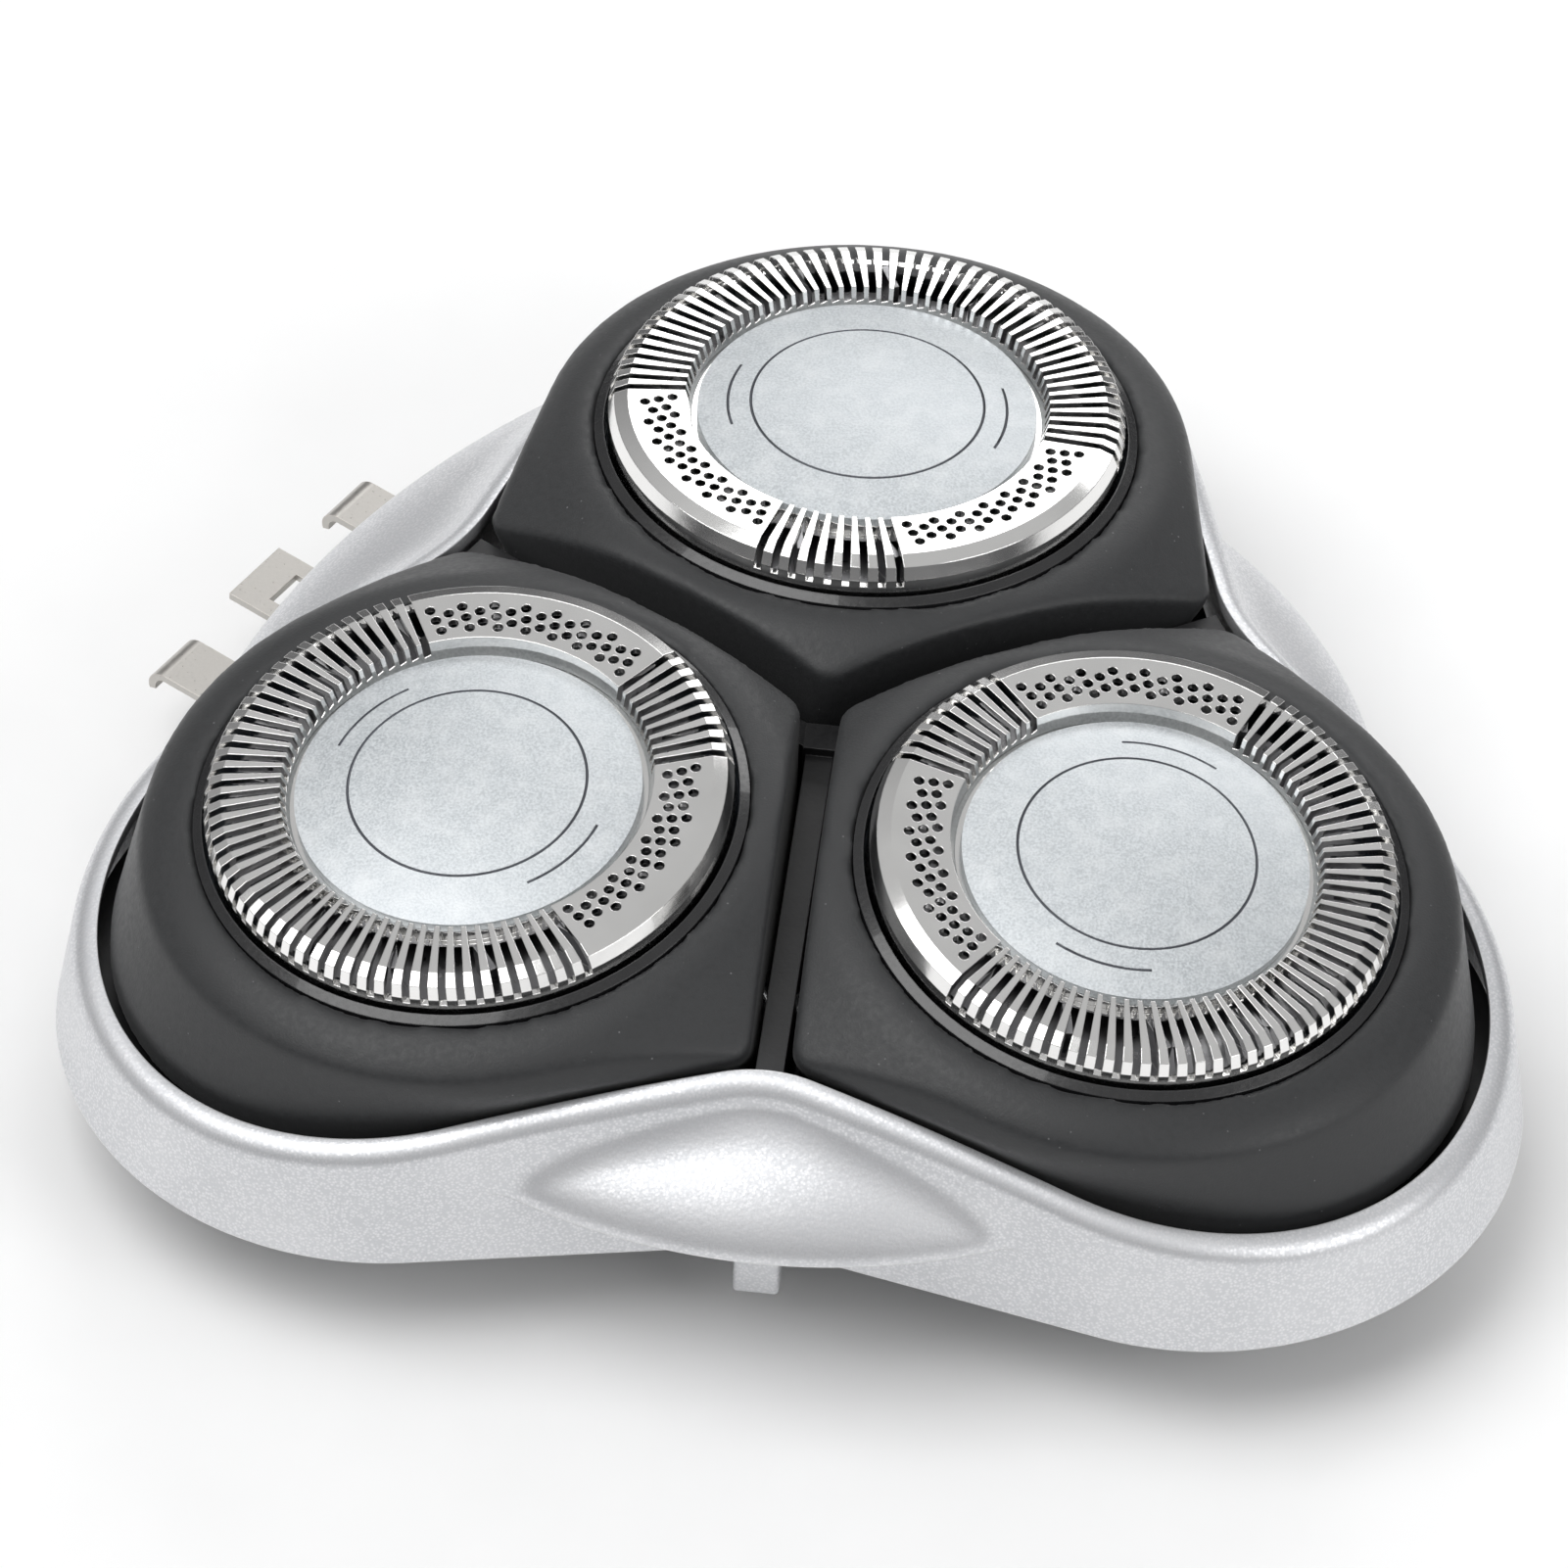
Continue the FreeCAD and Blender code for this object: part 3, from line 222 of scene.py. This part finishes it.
def skirt():
    """The silver skirt with a rolled rim and three blended waist domes."""
    feet = trefoil_outline(*FOOT_OUTLINE)
    crowns = trefoil_outline(*CROWN_OUTLINE)
    points = []
    sections = []
    for index, (foot, crown) in enumerate(zip(feet, crowns)):
        along = (feet[(index + 1) % len(feet)] - feet[index - 1]).normalized()
        inward = Vector((-along.y, along.x))
        section = wall_section(rim_height(foot, crown))
        sections.append(section)
        for level, (inset, height) in enumerate(section):
            flat = wall_point(foot, crown, height) + inward * inset
            if LOW_LEVELS <= level < LOW_LEVELS + HIGH_LEVELS + SHOULDER_LEVELS:
                flat = pushed_out(flat, height)
            points.append(Vector((flat.x, flat.y, height)))
    levels = len(sections[0])
    round_count = len(sections)
    faces = []
    for index in range(round_count):
        after = (index + 1) % round_count
        for level in range(levels):
            above = (level + 1) % levels
            corners = ((index, level), (after, level), (after, above), (index, above))
            faces.append(tuple(column * levels + row for column, row in corners))
    piece = made_object("housing", points, faces)
    piece.data.set_sharp_from_angle(angle=CREASE_ANGLE)
    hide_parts("base_housing")
    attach(piece, "base")
    return piece


def pegs():
    """The two pegs under the skirt's waists."""
    pieces = []
    for number, azimuth in enumerate(PEG_AZIMUTHS, start=1):
        height = SKIRT_FOOT + PEG_OVERLAP - PEG_FOOT
        corners, peg_faces = box((PEG_REACH, 0, PEG_FOOT + height / 2), (PEG_THICK, PEG_WIDE, height))
        turn = Matrix.Rotation(math.radians(azimuth), 3, "Z")
        peg = made_object(f"peg_{number}", [turn @ corner for corner in corners], peg_faces)
        rounding = peg.modifiers.new("rounding", "BEVEL")
        rounding.width = PEG_ROUND * MM
        rounding.segments = 3
        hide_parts("base_housing")
        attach(peg, "base")
        pieces.append(peg)
    return pieces


# ---------------------------------------------------------------- material tools


def new_material(name):
    """A material with an empty node tree, its output and its main shader."""
    material = bpy.data.materials.new(name)
    material.use_nodes = True
    tree = material.node_tree
    tree.nodes.clear()
    shader = tree.nodes.new("ShaderNodeBsdfPrincipled")
    output = tree.nodes.new("ShaderNodeOutputMaterial")
    tree.links.new(shader.outputs[0], output.inputs["Surface"])
    return material, tree, shader


def node(tree, kind, **settings):
    """Adds a shader node; `inputs` sets its sockets by name."""
    made = tree.nodes.new(kind)
    for name, value in settings.pop("inputs", {}).items():
        made.inputs[name].default_value = value
    for name, value in settings.items():
        setattr(made, name, value)
    return made


def place(tree):
    """Object coordinates in metres, which are the row frame for a CAD node."""
    return tree.nodes.new("ShaderNodeTexCoord").outputs["Object"]


def noise(tree, size, detail=2.0, where=None):
    """Smooth noise whose features are about `size` metres across, from 0 to 1."""
    made = node(tree, "ShaderNodeTexNoise", inputs={"Scale": 1.0 / size, "Detail": detail})
    tree.links.new(where or place(tree), made.inputs["Vector"])
    return made.outputs["Fac"]


def spots(tree, size):
    """Distance from the nearest of many scattered points about `size` metres apart."""
    made = node(tree, "ShaderNodeTexVoronoi", inputs={"Scale": 1.0 / size})
    tree.links.new(place(tree), made.inputs["Vector"])
    return made.outputs["Distance"]


def between(tree, value, low, high, to_low, to_high):
    """Maps a value from one range to another, clamped."""
    made = node(
        tree,
        "ShaderNodeMapRange",
        inputs={"From Min": low, "From Max": high, "To Min": to_low, "To Max": to_high},
    )
    tree.links.new(value, made.inputs["Value"])
    return made.outputs[0]


def mix(tree, factor, first, second):
    """Blends two colours, each a tuple or a socket."""
    made = node(tree, "ShaderNodeMix", data_type="RGBA")
    tree.links.new(factor, made.inputs[0])
    for socket, colour in ((made.inputs[6], first), (made.inputs[7], second)):
        if isinstance(colour, tuple):
            socket.default_value = (*colour, 1.0)
        else:
            tree.links.new(colour, socket)
    return made.outputs[2]


def edge_highlight_mask(tree, radius):
    """1 on sharp convex edges, where a highlight is painted, and 0 elsewhere, from the angle between two
    normals.
    """
    bevel = node(tree, "ShaderNodeBevel", samples=4, inputs={"Radius": radius})
    plain = tree.nodes.new("ShaderNodeNewGeometry")
    dot = node(tree, "ShaderNodeVectorMath", operation="DOT_PRODUCT")
    tree.links.new(bevel.outputs[0], dot.inputs[0])
    tree.links.new(plain.outputs["Normal"], dot.inputs[1])
    return between(tree, dot.outputs["Value"], 0.98, 0.8, 0.0, 1.0)


def bump(tree, shader, height, distance, strength=1.0, round_edges=None):
    """Bumps the shader's normal, and rounds its edges by a bevel radius."""
    made = node(tree, "ShaderNodeBump", inputs={"Distance": distance, "Strength": strength})
    tree.links.new(height, made.inputs["Height"])
    if round_edges:
        bevel = node(tree, "ShaderNodeBevel", samples=6, inputs={"Radius": round_edges})
        tree.links.new(bevel.outputs[0], made.inputs["Normal"])
    tree.links.new(made.outputs[0], shader.inputs["Normal"])


def link(tree, value, shader, socket):
    tree.links.new(value, shader.inputs[socket])


# ---------------------------------------------------------------- materials


def silver_paint():
    """Metallic silver paint: fine bright flakes, a faint orange peel and a painted highlight on its
    edges.
    """
    material, tree, shader = new_material("silver_paint")
    flakes = between(tree, spots(tree, 0.16 * MM), 0.1, 0.6, 0.0, 1.0)
    cloud = noise(tree, 6 * MM)
    base = mix(tree, flakes, (0.80, 0.80, 0.82), (0.62, 0.63, 0.65))
    base = mix(tree, between(tree, cloud, 0.3, 0.7, 0.0, 0.25), base, (0.86, 0.86, 0.87))
    # The convex edges are painted lighter: a painted highlight.
    colour = mix(tree, edge_highlight_mask(tree, 0.15 * MM), base, (0.9, 0.9, 0.9))
    link(tree, colour, shader, "Base Color")
    link(tree, between(tree, flakes, 0.0, 1.0, 0.30, 0.46), shader, "Roughness")
    shader.inputs["Metallic"].default_value = 0.72
    shader.inputs["Coat Weight"].default_value = 0.25
    shader.inputs["Coat Roughness"].default_value = 0.25
    bump(tree, shader, noise(tree, 0.22 * MM, 4.0), 0.012 * MM, round_edges=0.12 * MM)
    return material


def soft_black():
    """Soft-touch charcoal rubber with fine pale speckles and a matte sheen."""
    material, tree, shader = new_material("soft_black")
    specks = between(tree, spots(tree, 0.45 * MM), 0.05, 0.13, 1.0, 0.0)
    rare = between(tree, noise(tree, 0.9 * MM, 3.0), 0.56, 0.66, 0.0, 1.0)
    few_specks = math_of(tree, "MULTIPLY", specks, rare)
    grain = noise(tree, 0.3 * MM, 5.0)
    base = mix(tree, grain, (0.017, 0.018, 0.019), (0.027, 0.028, 0.030))
    # The convex edges are painted lighter: a painted highlight.
    edge_lit = mix(tree, edge_highlight_mask(tree, 0.3 * MM), base, (0.05, 0.051, 0.053))
    colour = mix(tree, few_specks, edge_lit, (0.16, 0.16, 0.165))
    link(tree, colour, shader, "Base Color")
    link(tree, between(tree, grain, 0.3, 0.7, 0.42, 0.56), shader, "Roughness")
    shader.inputs["Sheen Weight"].default_value = 0.08
    bump(tree, shader, noise(tree, 0.12 * MM, 3.0), 0.01 * MM, round_edges=0.3 * MM)
    return material


def moulded(name, dark, light, roughness, grain=0.25 * MM, gloss=0.0):
    """Moulded plastic: slight mottling, a fine spark-eroded grain and edges painted paler as a highlight.
    """
    material, tree, shader = new_material(name)
    mottle = noise(tree, 2.5 * MM, 3.0)
    base = mix(tree, between(tree, mottle, 0.3, 0.7, 0.0, 1.0), dark, light)
    # A paler colour painted on the convex edges as a highlight.
    pale = tuple(min(1.0, value * 1.25 + 0.02) for value in light)
    link(tree, mix(tree, edge_highlight_mask(tree, 0.12 * MM), base, pale), shader, "Base Color")
    rough = between(tree, noise(tree, grain, 4.0), 0.3, 0.7, roughness - 0.05, roughness + 0.08)
    link(tree, rough, shader, "Roughness")
    shader.inputs["Coat Weight"].default_value = gloss
    bump(tree, shader, noise(tree, grain, 3.0), 0.006 * MM, round_edges=0.08 * MM)
    return material


def polished_steel():
    """The guard's mirror-bright steel with faint fine scratches and soft stamped edges."""
    material, tree, shader = new_material("guard_steel")
    smudge = noise(tree, 3 * MM, 3.0)
    colour = mix(tree, smudge, (0.80, 0.795, 0.785), (0.90, 0.895, 0.885))
    link(tree, colour, shader, "Base Color")
    link(tree, between(tree, smudge, 0.35, 0.7, 0.10, 0.17), shader, "Roughness")
    shader.inputs["Metallic"].default_value = 1.0
    bump(tree, shader, noise(tree, 0.4 * MM, 2.0), 0.002 * MM, round_edges=0.07 * MM)
    return material


def steel(name, colour, roughness, stretch=(1.0, 1.0, 12.0), warm=0.0):
    """Ground or drawn steel with stretched scratches and edges painted brighter as a highlight."""
    material, tree, shader = new_material(name)
    mapping = node(tree, "ShaderNodeMapping", inputs={"Scale": stretch})
    tree.links.new(place(tree), mapping.inputs["Vector"])
    lines = noise(tree, 0.5 * MM, 4.0, mapping.outputs[0])
    dark = tuple(value * 0.85 for value in colour)
    base = mix(tree, lines, dark, colour)
    # A brighter colour painted on the convex edges as a highlight.
    highlight_tint = (min(1.0, colour[0] + 0.12 + warm), min(1.0, colour[1] + 0.12), min(1.0, colour[2] + 0.1))
    link(tree, mix(tree, edge_highlight_mask(tree, 0.08 * MM), base, highlight_tint), shader, "Base Color")
    link(tree, between(tree, lines, 0.3, 0.7, roughness - 0.05, roughness + 0.1), shader, "Roughness")
    shader.inputs["Metallic"].default_value = 1.0
    bump(tree, shader, lines, 0.004 * MM, round_edges=0.06 * MM)
    return material


def head_axes(index):
    """A head's centre and its axes: outward, sideways and along the spin, in the row frame."""
    joint = next(item for item in frame["joints"] if item["name"] == f"cutter_spin_{index}")
    spin = Vector(joint["axis"]).normalized()
    side = Vector((0, 0, 1)).cross(spin).normalized()
    return Vector(joint["pos_m"]), side.cross(spin), side, spin


def vector_math(tree, operation, first, second=None):
    made = node(tree, "ShaderNodeVectorMath", operation=operation)
    tree.links.new(first, made.inputs[0])
    if second is not None:
        made.inputs[1].default_value = second
    return made.outputs["Value" if operation in ("LENGTH", "DOT_PRODUCT") else "Vector"]


def math_of(tree, operation, *values):
    """A math node over sockets and plain numbers."""
    made = node(tree, "ShaderNodeMath", operation=operation)
    for socket, value in zip(made.inputs, values):
        if isinstance(value, (int, float)):
            socket.default_value = value
        else:
            tree.links.new(value, socket)
    return made.outputs[0]


def groove_shade_mask(tree, index):
    """1 on the disc's engraved circle and on its two short arcs, where shade is painted, 0 elsewhere."""
    centre, out, side, spin = head_axes(index)
    arm = vector_math(tree, "SUBTRACT", place(tree), centre)
    reach = vector_math(tree, "LENGTH", vector_math(tree, "CROSS_PRODUCT", arm, spin))
    half_line = LINE_HALF_WIDTH * MM
    circle = math_of(tree, "COMPARE", reach, LINE_RADIUS * MM, half_line)
    ring = math_of(tree, "COMPARE", reach, ARC_LINE_RADIUS * MM, half_line)
    turn = math.radians(ARC_TURNS[index])
    middle = out * math.cos(turn) + side * math.sin(turn)
    along = math_of(tree, "ABSOLUTE", vector_math(tree, "DOT_PRODUCT", arm, middle))
    arc_end = math_of(tree, "MULTIPLY", reach, math.cos(ARC_HALF_SPAN))
    inside = math_of(tree, "GREATER_THAN", along, arc_end)
    return math_of(tree, "MAXIMUM", circle, math_of(tree, "MULTIPLY", ring, inside))


def disc_metal(index):
    """Fine satin aluminium with a grainy sparkle and painted shade in its engraved lines."""
    material, tree, shader = new_material(f"disc_metal_{index}")
    grain = noise(tree, 0.12 * MM, 4.0)
    patch = noise(tree, 1.2 * MM, 4.0)
    sparkle = between(tree, grain, 0.35, 0.65, 0.0, 1.0)
    base = mix(tree, sparkle, (0.50, 0.53, 0.55), (0.68, 0.71, 0.73))
    base = mix(tree, between(tree, patch, 0.45, 0.7, 0.0, 0.35), base, (0.78, 0.80, 0.81))
    # Painted shade in the engraved grooves: the lines are painted dark.
    base = mix(tree, groove_shade_mask(tree, index), base, (0.10, 0.105, 0.12))
    link(tree, base, shader, "Base Color")
    link(tree, between(tree, grain, 0.3, 0.7, 0.42, 0.60), shader, "Roughness")
    shader.inputs["Metallic"].default_value = 0.75
    bump(tree, shader, grain, 0.010 * MM)
    return material


# ---------------------------------------------------------------- pieces


def dress(material, *names):
    """Gives CAD nodes a material."""
    for name in names:
        piece = NODES[name]
        piece.data.materials.clear()
        piece.data.materials.append(material)


def each(stem):
    return [f"{stem}_{index}" for index in HEADS]


def soften(name, voxel, rounds):
    """Melts a moulded piece's hard CAD edges into small even roundings."""
    piece = NODES[name]
    remesh = piece.modifiers.new("even_mesh", "REMESH")
    remesh.mode = "VOXEL"
    remesh.voxel_size = voxel
    remesh.use_smooth_shade = True
    smooth = piece.modifiers.new("rounding", "SMOOTH")
    smooth.factor = 0.5
    smooth.iterations = rounds


def dress_all():
    silver = silver_paint()
    for piece in (skirt(), *pegs()):
        piece.data.materials.append(silver)
    dress(soft_black(), *each("pod_cover"))
    gloss_black = moulded("gloss_black", (0.008, 0.008, 0.009), (0.014, 0.014, 0.015), 0.22, gloss=0.5)
    dress(gloss_black, *each("pod_frame"))
    black = moulded("black_plastic", (0.010, 0.010, 0.011), (0.018, 0.018, 0.019), 0.36)
    dress(black, "carrier_deck", "pod_carrier")
    grey = moulded("grey_plastic", (0.24, 0.245, 0.25), (0.30, 0.305, 0.31), 0.45)
    dress(grey, "bottom_cover", "drive_coupling")
    white = moulded("white_plastic", (0.70, 0.70, 0.66), (0.80, 0.80, 0.76), 0.38)
    dress(white, "sun_gear", *each("driven_gear"), *each("spindle"))
    blue = moulded("blue_plastic", (0.035, 0.045, 0.060), (0.055, 0.070, 0.090), 0.4)
    dress(blue, *each("retaining_ring"), *each("cutter_carrier"))
    dress(polished_steel(), *each("guard"))
    dress(steel("cutter_steel", (0.30, 0.30, 0.31), 0.30), *each("cutter_blades"))
    spring = steel("spring_steel", (0.58, 0.56, 0.53), 0.32, (3.0, 3.0, 3.0), warm=0.02)
    dress(spring, "hinge_clip", *each("pod_spring"), *each("coupling_spring"))
    zinc = steel("zinc_steel", (0.62, 0.63, 0.64), 0.3, (2.0, 2.0, 2.0))
    dress(zinc, "cover_screws", "clip_screws", "pivot_pins", "gear_axles")
    for index in HEADS:
        dress(disc_metal(index), f"trim_disc_{index}")
    for name in each("pod_cover"):
        soften(name, POD_VOXEL, POD_ROUNDS)


# ---------------------------------------------------------------- studio


def camera():
    """A long lens above the front, slightly to the right, as the photograph was taken."""
    azimuth = math.radians(5.115)
    elevation = math.radians(47.464)
    roll = math.radians(2.21)
    distance = 571.4 * MM
    shift_right = -1.881 * MM
    shift_up = -5.012 * MM
    focal_length = 279.7
    aim = Vector((0.0, 0.0, 20 * MM))
    back = Vector(
        (
            math.sin(azimuth) * math.cos(elevation),
            -math.cos(azimuth) * math.cos(elevation),
            math.sin(elevation),
        )
    )
    right = (-back).cross(Vector((0, 0, 1))).normalized()
    up = right.cross(-back)
    tilted_right = right * math.cos(roll) + up * math.sin(roll)
    tilted_up = up * math.cos(roll) - right * math.sin(roll)
    lens = bpy.data.cameras.new("camera")
    lens.sensor_width = 36.0
    lens.lens = focal_length
    lens.clip_start = 0.05
    made = bpy.data.objects.new("camera", lens)
    bpy.context.scene.collection.objects.link(made)
    turn = Matrix((tilted_right, tilted_up, back)).transposed()
    made.matrix_world = turn.to_4x4()
    made.location = aim + back * distance + tilted_right * shift_right + tilted_up * shift_up
    bpy.context.scene.camera = made


def floor():
    """A wide pale sheet under the object."""
    mesh = bpy.data.meshes.new("floor")
    half = 3.0
    low = CAD_BOX[0][2]
    corners = [(-half, -half, low), (half, -half, low), (half, half, low), (-half, half, low)]
    mesh.from_pydata(corners, [], [(0, 1, 2, 3)])
    made = bpy.data.objects.new("floor", mesh)
    bpy.context.scene.collection.objects.link(made)
    material, tree, shader = new_material("floor_white")
    paper = between(tree, noise(tree, 8 * MM), 0.3, 0.7, 0.0, 1.0)
    link(tree, mix(tree, paper, (0.93, 0.93, 0.93), (0.95, 0.95, 0.95)), shader, "Base Color")
    shader.inputs["Roughness"].default_value = 0.9
    mesh.materials.append(material)


def softbox(name, place_at, size, power, aim=(0.0, 0.0, 0.015)):
    """A square area light that faces the object."""
    light = bpy.data.lights.new(name, "AREA")
    light.shape = "RECTANGLE"
    light.size, light.size_y = size
    light.energy = power
    made = bpy.data.objects.new(name, light)
    bpy.context.scene.collection.objects.link(made)
    made.location = place_at
    made.rotation_euler = (Vector(aim) - Vector(place_at)).to_track_quat("-Z", "Y").to_euler()


def sky():
    """An even pale surround, a little darker towards the horizon."""
    world = bpy.data.worlds.new("studio")
    bpy.context.scene.world = world
    world.use_nodes = True
    tree = world.node_tree
    background = tree.nodes["Background"]
    where = tree.nodes.new("ShaderNodeTexCoord")
    split = tree.nodes.new("ShaderNodeSeparateXYZ")
    tree.links.new(where.outputs["Generated"], split.inputs[0])
    ramp = tree.nodes.new("ShaderNodeValToRGB")
    ramp.color_ramp.elements[0].position = 0.0
    ramp.color_ramp.elements[0].color = (0.12, 0.12, 0.125, 1)
    ramp.color_ramp.elements[1].position = 0.75
    ramp.color_ramp.elements[1].color = (0.9, 0.9, 0.9, 1)
    tree.links.new(split.outputs["Z"], ramp.inputs[0])
    tree.links.new(ramp.outputs[0], background.inputs["Color"])
    background.inputs["Strength"].default_value = 0.6


def studio():
    camera()
    floor()
    sky()
    softbox("key_light", (-0.3, -0.1, 0.7), (0.6, 0.6), 3.4)
    softbox("fill_light", (0.6, -0.3, 0.4), (0.4, 0.4), 1.5)
    softbox("back_light", (0.1, 0.7, 0.45), (0.7, 0.25), 1.6)
    bpy.context.scene.view_settings.view_transform = "Standard"


dress_all()
studio()
bpy.context.view_layer.update()
